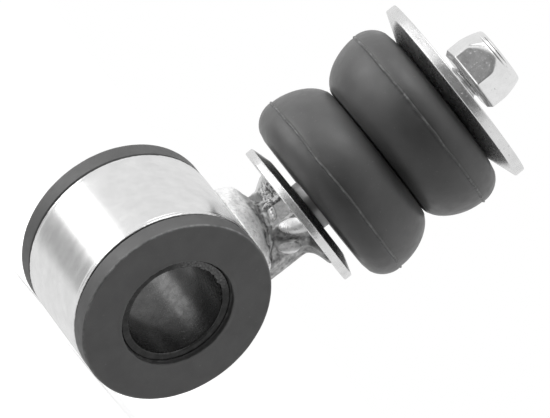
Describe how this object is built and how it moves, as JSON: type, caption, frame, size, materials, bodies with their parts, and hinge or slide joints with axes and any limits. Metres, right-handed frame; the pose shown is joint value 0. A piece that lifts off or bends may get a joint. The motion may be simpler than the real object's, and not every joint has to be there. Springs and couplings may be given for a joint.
{
  "type": "stabilizer link",
  "caption": "Eye and stud stabilizer link: a rubber bushed steel eye welded to a hexagon stud with dished washers, a spacer, doughnut bushes and a lock nut.",
  "frame": {"origin": "centre of the eye's bore, halfway along it", "axes": "+Y along the eye's bore, +Z along the stud from the eye towards the lock nut, +X towards the side on which the stud stands off the eye's centre"},
  "size_m": [0.0707, 0.0544, 0.1317],
  "materials": {
    "zinc_ring": "satin zinc plate on a steel tube ring",
    "eye_rubber": "matte moulded rubber",
    "sleeve_steel": "dark phosphated steel, satin",
    "zinc_stud": "zinc plated turned steel",
    "weld_zinc": "zinc plated weld metal, rippled",
    "zinc_washer": "zinc plated pressed steel",
    "spacer_steel": "plated steel tube",
    "bush_rubber": "matte moulded rubber with a parting line",
    "nut_zinc": "bright zinc plate"
  },
  "bodies": {
    "bar_sleeve": {"inner_sleeve": "sleeve_steel"},
    "link": {"eye_ring": "zinc_ring", "eye_bush": "eye_rubber", "stud": "zinc_stud", "saddle_weld": "weld_zinc", "toe_weld": "weld_zinc", "washer_tacks": "weld_zinc", "lower_washer": "zinc_washer"},
    "spacer": {"spacer": "spacer_steel"},
    "lower_bush": {"lower_bush": "bush_rubber"},
    "upper_bush": {"upper_bush": "bush_rubber"},
    "upper_washer": {"upper_washer": "zinc_washer"},
    "lock_nut": {"lock_nut": "nut_zinc"}
  },
  "joints": [
    {"name": "eye_twist", "type": "hinge", "parent": "bar_sleeve", "child": "link", "pos_m": [0, 0, 0], "axis": [0, 1, 0], "range_deg": [-15, 15], "stiffness_Nm_per_rad": 30},
    {"name": "spacer_slide", "type": "slide", "parent": "link", "child": "spacer", "axis": [0, 0, 1], "range_m": [0, 0.0056]},
    {"name": "lower_bush_slide", "type": "slide", "parent": "link", "child": "lower_bush", "axis": [0, 0, 1], "range_m": [-0.0017, 0]},
    {"name": "upper_bush_slide", "type": "slide", "parent": "lower_bush", "child": "upper_bush", "axis": [0, 0, 1], "range_m": [0, 0.0023]},
    {"name": "upper_washer_slide", "type": "slide", "parent": "upper_bush", "child": "upper_washer", "axis": [0, 0, 1], "range_m": [0, 0.0024]},
    {"name": "nut_turn", "type": "hinge", "parent": "link", "child": "lock_nut", "pos_m": [0.0172, 0, 0.0997], "axis": [0, 0, 1], "continuous": true}
  ]
}
